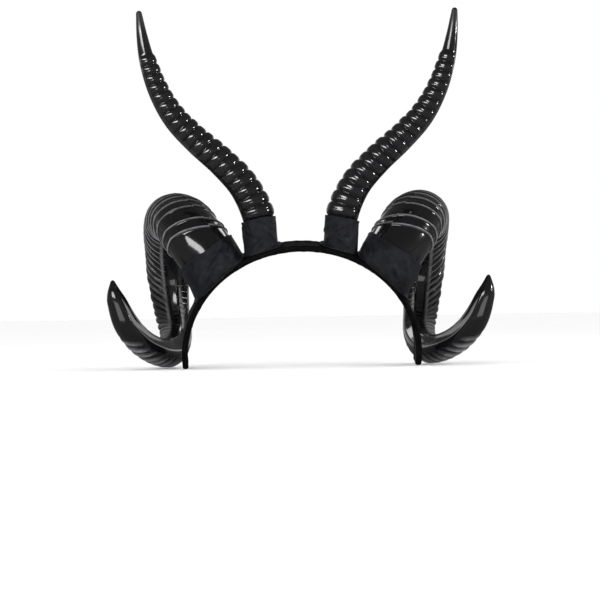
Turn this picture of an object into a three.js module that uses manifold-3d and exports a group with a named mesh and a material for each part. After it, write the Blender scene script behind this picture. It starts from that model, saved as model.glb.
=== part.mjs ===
import * as THREE from "three";
import { mergeVertices } from "three/addons/utils/BufferGeometryUtils.js";
import Module from "manifold-3d";

// Headband with two ringed gazelle horns and two coiled ram horns.
// Millimetres, Z up, Y towards the back of the head, X across. Everything is laid out from the
// middle of the band's outer face at the crown, and the finished headband is then stood on its feet.
const wasm = await Module();
wasm.setup();

// Headband: an arch over the crown that leans back towards its two ends
const archHalfWidth = 94;
const archRise = 87;
const archHeight = 98;
const bandWidth = 25;
const bandThickness = 4.4;
const bandEdgeRound = 1.3;
const bandLean = THREE.MathUtils.degToRad(12);
const bandSteps = 49;
const bandEndLength = 9;
const bandEndWidth = 0.55;

// Fit between pieces, and the fabric wrapped round the foot of each horn
const clearance = 0.3;
const fabricThickness = 1.5;
const gapBetweenWraps = 2.6;

// Each horn starts this deep inside the band's curve, before its foot is cut to sit on the band,
// and stays plain for a little above its wrap
const footDepth = 10;
const plainAboveWrap = 1;
const wrapSteps = 4;

// Gazelle horn: an S-shaped horn with rings and a smooth point
const gazelleFootAt = 32.2;
const gazelleHeight = 188;
const gazelleReach = 92;
const gazelleBow = 4;
const gazelleRadius = 12;
const gazelleSides = 12;
const gazelleWrapHeight = 24;
const ringCount = 19;
const ringPitchAtFoot = 8.9;
const ringPitchAtPoint = 7.6;
const ringHeight = 1.5;
const lastRingHeight = 0.7 * ringHeight;
const gazellePointSteps = 7;
// The flat crest of a ring, as shares of its pitch
const ringCrest = { from: 0.3, to: 0.7 };
// Cosines of the angle from the inner side, between which the rings fade away on the outer side
const ringFade = { from: -0.85, to: -0.3 };

// Ram horn: a three-sided horn that coils back, down and forward, and turns outward at its point
const ramReach = 79;
const ramDepth = 96;
const ramHeight = 106;
const ramRadius = 24;
const ramArcSides = 9;
const ramWrapHeight = 19;
const ridgeCount = 31;
const ridgePitchInFront = 10.8;
const ridgePitchBehind = 7.1;
const ridgesInFront = 7;
const ridgeHeight = 1.1;
const ramPointSteps = 9;
// The crest of a ridge, as a share of its pitch, and how many of the last ridges fade away
const ridgeCrest = 0.6;
const fadingRidges = 6;
// The pitch changes behind the head between these shares of the ridges in front
const pitchChange = { from: 0.4, to: 1.6 };

// Centre-line of the gazelle horn from its foot on the band.
// out, back and up are shares of its reach, bow and height; thick is a share of its radius.
const gazelleRows = [
  { out: -0.016, back: 0, up: -0.053, thick: 1.03 },
  { out: 0, back: 0.25, up: 0.053, thick: 1 },
  { out: 0.022, back: 0.5, up: 0.146, thick: 1 },
  { out: 0.133, back: 0.75, up: 0.263, thick: 0.95 },
  { out: 0.31, back: 0.9, up: 0.362, thick: 0.9 },
  { out: 0.516, back: 1, up: 0.452, thick: 0.84 },
  { out: 0.707, back: 0.9, up: 0.55, thick: 0.76 },
  { out: 0.842, back: 0.75, up: 0.662, thick: 0.65 },
  { out: 0.928, back: 0.6, up: 0.781, thick: 0.53 },
  { out: 0.972, back: 0.5, up: 0.887, thick: 0.375 },
  { out: 1, back: 0.4, up: 1, thick: 0.17 },
];

// Centre-line of the ram horn from its foot on the band.
// out, back and up are shares of its reach, depth and height; deep and wide are shares of its radius,
// towards the heart of the coil and across it; turn swings the keel round the horn, in degrees.
const ramRows = [
  { out: -0.081, back: 0.017, up: -0.066, deep: 0.96, wide: 0.94, turn: 0 },
  { out: 0.006, back: 0.027, up: 0.085, deep: 0.95, wide: 0.965, turn: 0 },
  { out: 0.175, back: 0.11, up: 0.283, deep: 0.92, wide: 1, turn: 0 },
  { out: 0.319, back: 0.298, up: 0.419, deep: 0.875, wide: 0.96, turn: 0 },
  { out: 0.425, back: 0.59, up: 0.438, deep: 0.8, wide: 0.85, turn: 0 },
  { out: 0.4625, back: 0.86, up: 0.302, deep: 0.74, wide: 0.77, turn: 0 },
  { out: 0.456, back: 1, up: 0.038, deep: 0.67, wide: 0.68, turn: 0 },
  { out: 0.425, back: 0.965, up: -0.226, deep: 0.6, wide: 0.57, turn: 0 },
  { out: 0.394, back: 0.807, up: -0.436, deep: 0.54, wide: 0.53, turn: 0 },
  { out: 0.45, back: 0.54, up: -0.545, deep: 0.5, wide: 0.5, turn: 0 },
  { out: 0.5875, back: 0.319, up: -0.536, deep: 0.47, wide: 0.47, turn: -10 },
  { out: 0.75, back: 0.152, up: -0.46, deep: 0.44, wide: 0.44, turn: -20 },
  { out: 0.881, back: 0.058, up: -0.33, deep: 0.415, wide: 0.415, turn: -30 },
  { out: 0.96, back: 0.017, up: -0.179, deep: 0.34, wide: 0.34, turn: -35 },
  { out: 0.991, back: 0.006, up: -0.104, deep: 0.25, wide: 0.25, turn: -40 },
  { out: 1.01, back: 0.006, up: -0.005, deep: 0.05, wide: 0.05, turn: -40 },
];
// Heart of the coil, as shares of the same reach, depth and height
const ramHeart = { out: 0.375, back: 0.465, up: -0.057 };

// Section of the ram horn as shares of its half sizes: two flats meet at a keel on the inner side,
// and a ridged round back joins their outer edges. across points outward from the head, and ridged
// is the share of the ridges' height there.
const keel = { across: -0.28, inward: 0.95, ridged: 0 };
const outerEdge = { across: 0.4, inward: 0.86, ridged: 0.4 };
const headEdge = { across: -0.9, inward: 0.42, ridged: 0.3 };

// Fineness of the centre-lines and of the cutter, and the distance within which points are merged
const lineDivisions = 600;
const cutterSegments = 60;
const mergeTolerance = 1e-4;
// How far the cutter reaches below the feet of the ram horns, as a share of their radius
const cutterBelowFoot = 1.5;

// Outer face of the band, from the left end over the crown to the right end
const endAngle = Math.asin((archHeight - archRise) / archRise);
const arch = new THREE.EllipseCurve(
  0, -archRise, archHalfWidth, archRise, Math.PI + endAngle, -endAngle, true,
);

// The wrap of the ram horn stands beside the wrap of the gazelle horn on the band
const wrapWall = clearance + fabricThickness;
const ramFootAt = gazelleFootAt + gazelleRadius + wrapWall + gapBetweenWraps + wrapWall + ramRadius;

// Point on the band's outer face, in the leaning arch, this far along the band from the crown
function bandPoint(distance) {
  const length = arch.getLength();
  const place = arch.getPointAt(0.5 + distance / length);
  return new THREE.Vector3(place.x, 0, place.y).applyAxisAngle(new THREE.Vector3(1, 0, 0), bandLean);
}

// A smooth line through the rows of a table, with its other columns read at the same place
class HornLine {
  constructor(points, columns) {
    this.line = new THREE.CatmullRomCurve3(points, false, "catmullrom", 0.5);
    this.line.arcLengthDivisions = lineDivisions;
    this.columns = new THREE.CatmullRomCurve3(columns, false, "catmullrom", 0.5);
    this.length = this.line.getLength();
  }

  at(distance) {
    const share = THREE.MathUtils.clamp(distance / this.length, 0, 1);
    return {
      centre: this.line.getPointAt(share),
      along: this.line.getTangentAt(share),
      columns: this.columns.getPoint(this.line.getUtoTmapping(share)),
    };
  }
}

// A blank is a round solid standing on its axis. Its height becomes the row number or the length
// along the horn, and its radius the distance from the centre, so it takes the shape of the piece.
function shape(blank, sides, pointAt) {
  const position = blank.attributes.position;
  for (let i = 0; i < position.count; i += 1) {
    const angle = Math.atan2(position.getX(i), position.getZ(i));
    const column = (Math.round((angle / (2 * Math.PI)) * sides) + sides) % sides;
    const radius = Math.hypot(position.getX(i), position.getZ(i));
    const point = pointAt(position.getY(i), column, radius);
    position.setXYZ(i, point.x, point.y, point.z);
  }
  return blank;
}

function solidBlank(sides, rows) {
  const blank = new THREE.CylinderGeometry(1, 1, rows - 1, sides, rows - 1);
  blank.translate(0, (rows - 1) / 2, 0);
  return blank;
}

// A sleeve blank: an inner and an outer wall, one row for each step, closed at both ends.
// The radius of the blank tells its two walls apart.
const innerWall = 1;
const outerWall = 2;
function sleeveBlank(sides, rows) {
  const profile = [];
  for (let row = 0; row < rows; row += 1) profile.push(new THREE.Vector2(outerWall, row));
  for (let row = rows - 1; row >= 0; row -= 1) profile.push(new THREE.Vector2(innerWall, row));
  profile.push(profile[0].clone());
  return new THREE.LatheGeometry(profile, sides);
}

// How far a wall of a fabric wrap stands off the horn
function wallGrowth(radius) {
  return clearance + (Math.round(radius) === outerWall ? fabricThickness : 0);
}

// Booleans on closed meshes
function toManifold(geometry) {
  const bare = geometry.clone();
  bare.deleteAttribute("normal");
  bare.deleteAttribute("uv");
  const merged = mergeVertices(bare, mergeTolerance);
  return new wasm.Manifold(new wasm.Mesh({
    numProp: 3,
    vertProperties: new Float32Array(merged.attributes.position.array),
    triVerts: new Uint32Array(merged.index.array),
  }));
}

function toGeometry(manifold) {
  const mesh = manifold.getMesh();
  const geometry = new THREE.BufferGeometry();
  geometry.setAttribute("position", new THREE.BufferAttribute(mesh.vertProperties, 3));
  geometry.setIndex(new THREE.BufferAttribute(mesh.triVerts, 1));
  geometry.computeVertexNormals();
  return geometry;
}

// The same piece on the other side of the head
function mirrored(geometry) {
  const copy = geometry.clone();
  copy.scale(-1, 1, 1);
  const index = copy.index.array;
  for (let i = 0; i < index.length; i += 3) {
    [index[i], index[i + 1]] = [index[i + 1], index[i]];
  }
  copy.computeVertexNormals();
  return copy;
}

// Headband: a strap with rounded edges and rounded ends
function headbandGeometry() {
  const halfWidth = bandWidth / 2;
  const halfThick = bandThickness / 2;
  const section = [
    [halfWidth, halfThick - bandEdgeRound], [halfWidth - bandEdgeRound, halfThick],
    [bandEdgeRound - halfWidth, halfThick], [-halfWidth, halfThick - bandEdgeRound],
    [-halfWidth, bandEdgeRound - halfThick], [bandEdgeRound - halfWidth, -halfThick],
    [halfWidth - bandEdgeRound, -halfThick], [halfWidth, bandEdgeRound - halfThick],
  ];
  const length = arch.getLength();
  return shape(solidBlank(section.length, bandSteps + 1), section.length, (row, column, radius) => {
    const share = row / bandSteps;
    const place = arch.getPointAt(share);
    const along = arch.getTangentAt(share);
    const fromEnd = Math.min(share, 1 - share) * length;
    const rounding = Math.sqrt(Math.max(0, 1 - (1 - Math.min(1, fromEnd / bandEndLength)) ** 2));
    const narrow = THREE.MathUtils.lerp(bandEndWidth, 1, rounding);
    const [across, out] = section[column];
    const lift = out * radius - halfThick;
    return new THREE.Vector3(place.x - along.y * lift, across * narrow * radius, place.y + along.x * lift);
  });
}

// Everything under the band's outer face down past the feet of the ram horns, which are cut to sit on it
function underBand() {
  const bottom = bandPoint(ramFootAt).z - cutterBelowFoot * ramRadius;
  const cornerAngle = Math.asin((bottom + archRise) / archRise);
  const outline = new THREE.Shape();
  outline.absellipse(
    0, -archRise, archHalfWidth + clearance, archRise + clearance, cornerAngle, Math.PI - cornerAngle, false, 0,
  );
  const reach = 2 * (ramRadius + bandWidth);
  const block = new THREE.ExtrudeGeometry(outline, {
    depth: reach, bevelEnabled: false, curveSegments: cutterSegments,
  });
  block.translate(0, 0, -reach / 2);
  block.rotateX(Math.PI / 2);
  block.rotateX(bandLean);
  return toManifold(block);
}

// Gazelle horn
const gazelleFoot = bandPoint(gazelleFootAt);
const gazelleLine = new HornLine(
  gazelleRows.map(({ out, back, up }) => new THREE.Vector3(
    gazelleFoot.x + out * gazelleReach,
    gazelleFoot.y + back * gazelleBow,
    gazelleFoot.z + up * gazelleHeight,
  )),
  gazelleRows.map(({ thick }) => new THREE.Vector3(thick * gazelleRadius, 0, 0)),
);

// Rings stand out on the front, the back and the side towards the other horn, and fade on the outer side
function ringShare(angle) {
  return THREE.MathUtils.smoothstep(Math.cos(angle), ringFade.from, ringFade.to);
}

function gazellePoint(distance, column, grow, lift) {
  const { centre, along, columns } = gazelleLine.at(distance);
  const front = new THREE.Vector3(0, -1, 0);
  front.addScaledVector(along, -front.dot(along)).normalize();
  const inner = front.clone().cross(along);
  const angle = (column / gazelleSides) * 2 * Math.PI;
  const radius = columns.x + grow + lift * ringShare(angle);
  return centre.addScaledVector(inner, Math.cos(angle) * radius)
    .addScaledVector(front, Math.sin(angle) * radius);
}

// Distances of the sections along a horn, each with its lift: the wrapped foot, the ridges, the point
function wrapSections(height, steps) {
  return Array.from({ length: steps + 1 }, (_, i) => ({ distance: (height * i) / steps, lift: 0 }));
}

function pointSections(start, end, steps) {
  return Array.from({ length: steps }, (_, i) => ({
    distance: THREE.MathUtils.lerp(start, end, (i + 1) / steps), lift: 0,
  }));
}

const gazelleWrap = wrapSections(gazelleWrapHeight + footDepth, wrapSteps);
const ramWrap = wrapSections(ramWrapHeight + footDepth, wrapSteps);

function gazelleSections() {
  const sections = [...gazelleWrap];
  let distance = gazelleWrapHeight + footDepth + plainAboveWrap;
  for (let ring = 0; ring < ringCount; ring += 1) {
    const along = ring / (ringCount - 1);
    const pitch = THREE.MathUtils.lerp(ringPitchAtFoot, ringPitchAtPoint, along);
    const lift = THREE.MathUtils.lerp(ringHeight, lastRingHeight, along);
    sections.push({ distance, lift: 0 });
    sections.push({ distance: distance + ringCrest.from * pitch, lift });
    sections.push({ distance: distance + ringCrest.to * pitch, lift });
    distance += pitch;
  }
  sections.push({ distance, lift: 0 });
  return [...sections, ...pointSections(distance, gazelleLine.length, gazellePointSteps)];
}

function gazelleGeometry() {
  const sections = gazelleSections();
  return shape(solidBlank(gazelleSides, sections.length), gazelleSides, (row, column, radius) => {
    const { distance, lift } = sections[Math.round(row)];
    const skin = gazellePoint(distance, column, 0, lift);
    return gazelleLine.at(distance).centre.lerp(skin, radius);
  });
}

function gazelleWrapGeometry() {
  return shape(sleeveBlank(gazelleSides, gazelleWrap.length), gazelleSides, (row, column, wall) => {
    return gazellePoint(gazelleWrap[Math.round(row)].distance, column, wallGrowth(wall), 0);
  });
}

// Ram horn
const ramFoot = bandPoint(ramFootAt);
const ramSpot = ({ out, back, up }) => new THREE.Vector3(
  ramFoot.x + out * ramReach,
  ramFoot.y + back * ramDepth,
  ramFoot.z + up * ramHeight,
);
const ramLine = new HornLine(
  ramRows.map(ramSpot),
  ramRows.map(({ deep, wide, turn }) => new THREE.Vector3(
    deep * ramRadius, wide * ramRadius, THREE.MathUtils.degToRad(turn),
  )),
);

// Outline of the ram horn's section, round from the outer edge over the keel and the back
function ramOutline() {
  const start = Math.atan2(headEdge.inward, headEdge.across);
  const end = Math.atan2(outerEdge.inward, outerEdge.across) + 2 * Math.PI;
  const outline = [outerEdge, keel, headEdge];
  for (let i = 1; i < ramArcSides + 1; i += 1) {
    const angle = THREE.MathUtils.lerp(start, end, i / (ramArcSides + 1));
    outline.push({ across: Math.cos(angle), inward: Math.sin(angle), ridged: 1 });
  }
  return outline;
}
const ramSection = ramOutline();

function ramPoint(distance, column, grow, lift) {
  const { centre, along, columns } = ramLine.at(distance);
  const inward = ramSpot(ramHeart).sub(centre);
  inward.addScaledVector(along, -inward.dot(along)).normalize();
  const across = inward.clone().cross(along);
  inward.applyAxisAngle(along, -columns.z);
  across.applyAxisAngle(along, -columns.z);
  const corner = ramSection[column];
  const raised = grow + lift * corner.ridged;
  return centre.addScaledVector(across, corner.across * (columns.y + raised))
    .addScaledVector(inward, corner.inward * (columns.x + raised));
}

function ramSections() {
  const sections = [...ramWrap];
  let distance = ramWrapHeight + footDepth + plainAboveWrap;
  for (let ridge = 0; ridge < ridgeCount; ridge += 1) {
    const behind = THREE.MathUtils.smoothstep(ridge / ridgesInFront, pitchChange.from, pitchChange.to);
    const pitch = THREE.MathUtils.lerp(ridgePitchInFront, ridgePitchBehind, behind);
    const lift = ridgeHeight * THREE.MathUtils.smoothstep((ridgeCount - ridge) / fadingRidges, 0, 1);
    sections.push({ distance, lift: 0 });
    sections.push({ distance: distance + ridgeCrest * pitch, lift });
    distance += pitch;
  }
  sections.push({ distance, lift: 0 });
  return [...sections, ...pointSections(distance, ramLine.length, ramPointSteps)];
}

function ramGeometry() {
  const sections = ramSections();
  return shape(solidBlank(ramSection.length, sections.length), ramSection.length, (row, column, radius) => {
    const { distance, lift } = sections[Math.round(row)];
    const skin = ramPoint(distance, column, 0, lift);
    return ramLine.at(distance).centre.lerp(skin, radius);
  });
}

function ramWrapGeometry() {
  return shape(sleeveBlank(ramSection.length, ramWrap.length), ramSection.length, (row, column, wall) => {
    return ramPoint(ramWrap[Math.round(row)].distance, column, wallGrowth(wall), 0);
  });
}

// Materials: glossy black moulded horn, dull black stretch fabric, satin band cover
const hornBlack = new THREE.MeshStandardMaterial({ color: 0x1b1c1f, roughness: 0.25, metalness: 0 });
const wrapFabric = new THREE.MeshStandardMaterial({ color: 0x2c2f35, roughness: 0.9, metalness: 0 });
const bandFabric = new THREE.MeshStandardMaterial({ color: 0x202126, roughness: 0.7, metalness: 0 });

const model = new THREE.Group();

const headband = new THREE.Mesh(headbandGeometry(), bandFabric);
headband.name = "headband";
headband.rotation.x = bandLean;
model.add(headband);

const below = underBand();

// The right-hand piece, cut to sit on the band, and its mirror image on the left
function addPair(name, geometry, material) {
  const seated = toGeometry(toManifold(geometry).subtract(below));
  const right = new THREE.Mesh(seated, material);
  right.name = `${name}_right`;
  const left = new THREE.Mesh(mirrored(seated), material);
  left.name = `${name}_left`;
  model.add(right, left);
}

addPair("gazelle_horn", gazelleGeometry(), hornBlack);
addPair("ram_horn", ramGeometry(), hornBlack);
addPair("gazelle_base_wrap", gazelleWrapGeometry(), wrapFabric);
addPair("ram_base_wrap", ramWrapGeometry(), wrapFabric);

// It stands by itself on the two ends of the band and the lowest turns of the ram horns
model.updateMatrixWorld(true);
const bounds = new THREE.Box3().setFromObject(model, true);
model.position.set(0, -(bounds.min.y + bounds.max.y) / 2, -bounds.min.z);

export default model;
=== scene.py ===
# %% [markdown]
# # A headband with four horns
# The real object is a costume headband: a springy arch covered in cloth, with two tall ringed
# horns on top and two big coiled ram horns at the sides. The horns are moulded in glossy black
# plastic, and stretch cloth is wrapped round each foot, where the horn is glued to the band.
# The solid model of every piece is loaded first. It fixes the places and sizes, and each piece
# that shows is then modelled again around it with its real detail.

# %% Load the solid model
import math

import bmesh
import bpy
import numpy as np
from mathutils import Matrix, Vector


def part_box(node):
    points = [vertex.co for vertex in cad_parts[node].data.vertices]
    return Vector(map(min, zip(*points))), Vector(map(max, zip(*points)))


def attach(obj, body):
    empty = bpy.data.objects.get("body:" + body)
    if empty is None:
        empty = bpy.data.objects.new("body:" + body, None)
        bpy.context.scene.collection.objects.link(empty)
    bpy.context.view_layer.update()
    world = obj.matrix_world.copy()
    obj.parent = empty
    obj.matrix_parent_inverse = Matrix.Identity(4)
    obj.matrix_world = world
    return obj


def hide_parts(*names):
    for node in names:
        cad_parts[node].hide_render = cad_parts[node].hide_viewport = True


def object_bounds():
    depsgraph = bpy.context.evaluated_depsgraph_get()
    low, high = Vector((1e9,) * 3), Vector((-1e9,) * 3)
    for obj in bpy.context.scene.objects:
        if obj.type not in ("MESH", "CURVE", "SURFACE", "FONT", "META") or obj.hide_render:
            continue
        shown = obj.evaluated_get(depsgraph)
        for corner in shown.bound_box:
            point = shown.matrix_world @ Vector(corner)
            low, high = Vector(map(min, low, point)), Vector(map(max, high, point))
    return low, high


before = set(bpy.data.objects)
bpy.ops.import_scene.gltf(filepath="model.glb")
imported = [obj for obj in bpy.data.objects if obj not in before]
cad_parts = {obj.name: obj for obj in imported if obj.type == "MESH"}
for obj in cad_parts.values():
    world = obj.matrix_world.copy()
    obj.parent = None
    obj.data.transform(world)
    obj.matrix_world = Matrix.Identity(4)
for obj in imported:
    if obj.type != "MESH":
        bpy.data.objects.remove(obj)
cad_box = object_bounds()
print("solid pieces:", sorted(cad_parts))
print("solid box, in metres:", [[round(x, 4) for x in corner] for corner in cad_box])

# %% [markdown]
# ## The sizes that drive everything
# These are the sizes of the solid model, in metres. Only the cloth is thinner here, and the rings
# and ridges are higher and, on the ram horns, closer, because a solid with few faces can't show
# them finely. The arch is an ellipse that leans back, and each horn is a table with one row for
# each section along it, as shares of the horn's own sizes. A table of shares is easy to read and
# to change: a taller horn is one number.

# %% Sizes
ARCH_HALF_WIDTH = 0.094
ARCH_RISE = 0.087
ARCH_HEIGHT = 0.098
BAND_WIDTH = 0.025
BAND_THICKNESS = 0.0044
BAND_EDGE_ROUND = 0.0013
BAND_LEAN = math.radians(12)
BAND_END_LENGTH = 0.009
BAND_END_WIDTH = 0.55

CLEARANCE = 0.0003
CLOTH_THICKNESS = 0.0011
CLOTH_MIDDLE = CLEARANCE + 0.5 * CLOTH_THICKNESS

GAZELLE_FOOT_AT = 0.0322
GAZELLE_HEIGHT = 0.188
GAZELLE_REACH = 0.092
GAZELLE_BOW = 0.004
GAZELLE_RADIUS = 0.012
GAZELLE_WRAP_TOP = 0.034
RING_COUNT = 19
RING_PITCH_AT_FOOT = 0.0089
RING_PITCH_AT_POINT = 0.0076
RING_HEIGHT = 0.0020

RAM_FOOT_AT = 0.0744
RAM_REACH = 0.079
RAM_DEPTH = 0.096
RAM_HEIGHT = 0.106
RAM_RADIUS = 0.024
RAM_WRAP_TOP = 0.029
RIDGE_COUNT = 38
RIDGE_PITCH = 0.0071
RIDGE_HEIGHT = 0.0012
PLAIN_ABOVE_WRAP = 0.001

# %% Sections of the horns
GAZELLE_COLUMNS = ("out", "back", "up", "thick")
GAZELLE_ROWS = [
    (-0.016, 0, -0.053, 1.03),
    (0, 0.25, 0.053, 1),
    (0.022, 0.5, 0.146, 1),
    (0.133, 0.75, 0.263, 0.95),
    (0.31, 0.9, 0.362, 0.9),
    (0.516, 1, 0.452, 0.84),
    (0.707, 0.9, 0.55, 0.76),
    (0.842, 0.75, 0.662, 0.65),
    (0.928, 0.6, 0.781, 0.53),
    (0.972, 0.5, 0.887, 0.375),
    (1, 0.4, 1, 0.17),
]
RAM_COLUMNS = ("out", "back", "up", "deep", "wide", "turn")
RAM_ROWS = [
    (-0.081, 0.017, -0.066, 0.96, 0.94, 0),
    (0.006, 0.027, 0.085, 0.95, 0.965, 0),
    (0.175, 0.11, 0.283, 0.92, 1, 0),
    (0.319, 0.298, 0.419, 0.875, 0.96, 0),
    (0.425, 0.59, 0.438, 0.8, 0.85, 0),
    (0.4625, 0.86, 0.302, 0.74, 0.77, 0),
    (0.456, 1, 0.038, 0.67, 0.68, 0),
    (0.425, 0.965, -0.226, 0.6, 0.57, 0),
    (0.394, 0.807, -0.436, 0.54, 0.53, 0),
    (0.45, 0.54, -0.545, 0.5, 0.5, 0),
    (0.5875, 0.319, -0.536, 0.47, 0.47, -10),
    (0.75, 0.152, -0.46, 0.44, 0.44, -20),
    (0.881, 0.058, -0.33, 0.415, 0.415, -30),
    (0.96, 0.017, -0.179, 0.34, 0.34, -35),
    (0.991, 0.006, -0.104, 0.25, 0.25, -40),
    (1.01, 0.006, -0.005, 0.05, 0.05, -40),
]
RAM_HEART = {"out": 0.375, "back": 0.465, "up": -0.057}

# %% [markdown]
# ## The arch that everything sits on
# The band follows a leaning half ellipse. The horns are cut to sit on its outer face, so the same
# curve is needed many times: to place a foot, to end a cloth wrap, and to shape the band itself.
# Blender has no ellipse tool that walks by distance, so a fine list of points is made once, and
# any place on it is read off between them.

# %% Walk along the arch
ARCH_SAMPLES = 4001
END_ANGLE = math.asin((ARCH_HEIGHT - ARCH_RISE) / ARCH_RISE)
arch_angles = np.linspace(math.pi + END_ANGLE, -END_ANGLE, ARCH_SAMPLES)
arch_across = ARCH_HALF_WIDTH * np.cos(arch_angles)
arch_up = ARCH_RISE * (np.sin(arch_angles) - 1)


def walked_along(points):
    """How far each point of a line lies from its first point, along the line."""
    steps = np.linalg.norm(np.diff(points, axis=0), axis=1)
    return np.concatenate([[0], np.cumsum(steps)])


arch_walked = walked_along(np.stack([arch_across, arch_up], 1))
ARCH_LENGTH = arch_walked[-1]

band_low, band_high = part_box("headband")
CROWN = np.array([
    0,
    band_low.y + BAND_WIDTH / 2 * math.cos(BAND_LEAN) - BAND_EDGE_ROUND * math.sin(BAND_LEAN),
    band_high.z - (BAND_WIDTH / 2 - BAND_EDGE_ROUND) * math.sin(BAND_LEAN),
])
LEAN = np.array(Matrix.Rotation(BAND_LEAN, 3, "X"))
print(f"arch {ARCH_LENGTH * 1000:.1f} mm round, crown at {np.round(CROWN * 1000, 2)} mm")


def leaning(points):
    """From the upright arch, with its crown at the origin, to the model's own place."""
    return points @ LEAN.T + CROWN


def upright(points):
    """From the model's own place back to the upright arch."""
    return (points - CROWN) @ LEAN


def arch_point(walked):
    """Place on the upright arch, this far from its left end: across and up."""
    return np.interp(walked, arch_walked, arch_across), np.interp(walked, arch_walked, arch_up)


def on_arch(walked):
    """Place and direction on the upright arch, this far from its left end."""
    x, z = arch_point(walked)
    step = ARCH_LENGTH / ARCH_SAMPLES
    run, rise = np.subtract(arch_point(walked + step), arch_point(walked - step))
    size = np.hypot(run, rise)
    return x, z, run / size, rise / size


def arch_share(points, lift):
    """Above 1 where a point is outside the arch's outer face, raised by lift, and below 1 inside."""
    p = upright(points)
    across = p[..., 0] / (ARCH_HALF_WIDTH + lift)
    up = (p[..., 2] + ARCH_RISE) / (ARCH_RISE + lift)
    return np.hypot(across, up)


def seated(points, lift):
    """The points moved to or from the arch's centre until they lie on its face, raised by lift."""
    p = upright(points)
    share = arch_share(points, lift)
    p[..., 0] = p[..., 0] / share
    p[..., 2] = (p[..., 2] + ARCH_RISE) / share - ARCH_RISE
    return leaning(p)


# %% [markdown]
# ## Lines through a table of sections
# A horn grows along a smooth line, and its thickness changes along it. The line goes through every
# row of the table, as a Catmull-Rom curve does, and all the other columns are read at the same
# place. The frame at each point says which way is inward, and which way is across.

# %% Smooth lines
LINE_SAMPLES = 3000


def smooth_rows(rows):
    """The rows of a table, joined by a smooth curve and sampled finely."""
    rows = np.array(rows, float)
    ends = 2 * rows[0] - rows[1], 2 * rows[-1] - rows[-2]
    padded = np.vstack([ends[0], rows, ends[1]])
    place = np.linspace(0, len(rows) - 1, LINE_SAMPLES)
    i = np.minimum(place.astype(int), len(rows) - 2)
    f = (place - i)[:, None]
    before, here, after, beyond = padded[i], padded[i + 1], padded[i + 2], padded[i + 3]
    return 0.5 * (
        2 * here + (after - before) * f + (2 * before - 5 * here + 4 * after - beyond) * f**2
        + (3 * here - before - 3 * after + beyond) * f**3
    )


def unit(vectors):
    return vectors / np.linalg.norm(vectors, axis=-1, keepdims=True)


class HornLine:
    """Centre-line of a horn, read at any distance along it."""

    def __init__(self, rows, columns, foot, sizes):
        fine = smooth_rows(rows)
        self.column = {name: fine[:, k] for k, name in enumerate(columns)}
        self.centre = foot + fine[:, :3] * sizes
        self.walked = walked_along(self.centre)
        self.length = self.walked[-1]
        self.along = unit(np.gradient(self.centre, axis=0))

    def read(self, distance, name):
        return np.interp(distance, self.walked, self.column[name])

    def vector(self, distance, table):
        return np.stack([np.interp(distance, self.walked, table[:, k]) for k in range(3)], axis=-1)

    def middle(self, distance):
        """Centre of the section. Below the foot the line runs straight on, into the band's curve."""
        below = np.minimum(distance, 0)[..., None] * self.along[0]
        return self.vector(distance, self.centre) + below


def smoothstep(x, low, high):
    t = np.clip((x - low) / (high - low), 0, 1)
    return t * t * (3 - 2 * t)


def foot_point(walked_from_crown):
    x, z = arch_point(ARCH_LENGTH / 2 + walked_from_crown)
    return leaning(np.array([x, 0, z]))


gazelle_foot = foot_point(GAZELLE_FOOT_AT)
ram_foot = foot_point(RAM_FOOT_AT)
GAZELLE_SIZES = np.array([GAZELLE_REACH, GAZELLE_BOW, GAZELLE_HEIGHT])
RAM_SIZES = np.array([RAM_REACH, RAM_DEPTH, RAM_HEIGHT])
gazelle_line = HornLine(GAZELLE_ROWS, GAZELLE_COLUMNS, gazelle_foot, GAZELLE_SIZES)
ram_line = HornLine(RAM_ROWS, RAM_COLUMNS, ram_foot, RAM_SIZES)
print(f"gazelle horn {gazelle_line.length * 1000:.0f} mm long, ram horn {ram_line.length * 1000:.0f} mm long")

# %% [markdown]
# ## A blank that is rolled and bent
# Every horn, wrap and strap here is a tube whose skin can be written as rows and columns. A flat
# grid from Blender's own operator is the blank: its columns go round the piece and its rows go
# along it. Moving each vertex to its place rolls the grid up and bends it along the piece in one
# step. The two long edges are then merged, and so is an end row whose points are all one, which
# shuts that end. The normals are turned outwards. The grid keeps its UV map, so cloth can follow
# the surface, and masks of grooves and of rubbed crests with a painted highlight go with its vertices.

# %% Roll a blank
MERGE_DISTANCE = 2e-6


def roll_blank(name, skin, threads=None, masks=None):
    """A tube through skin[row, column], in metres. Its first and last rows may be single points."""
    rows, columns, _ = skin.shape
    bm = bmesh.new()
    bm.loops.layers.uv.new("UVMap")
    bmesh.ops.create_grid(bm, x_segments=columns, y_segments=rows - 1, size=1, calc_uvs=True)
    mesh = bpy.data.meshes.new(name)
    bm.to_mesh(mesh)
    bm.free()

    flat = np.zeros(len(mesh.vertices) * 3)
    mesh.vertices.foreach_get("co", flat)
    flat = flat.reshape(-1, 3)
    column = np.rint((flat[:, 0] + 1) / 2 * columns).astype(int) % columns
    row = np.rint((flat[:, 1] + 1) / 2 * (rows - 1)).astype(int)
    mesh.vertices.foreach_set("co", skin[row, column].astype(np.float32).ravel())
    for mask, values in (masks or {}).items():
        layer = mesh.attributes.new(mask, "FLOAT", "POINT")
        layer.data.foreach_set("value", values[row, column].astype(np.float32))
    if threads:
        scale_uv(mesh, threads)

    bm = bmesh.new()
    bm.from_mesh(mesh)
    bmesh.ops.remove_doubles(bm, verts=bm.verts, dist=MERGE_DISTANCE)
    bmesh.ops.recalc_face_normals(bm, faces=bm.faces)
    bm.to_mesh(mesh)
    bm.free()
    mesh.polygons.foreach_set("use_smooth", [True] * len(mesh.polygons))
    mesh.update()
    return mesh


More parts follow.
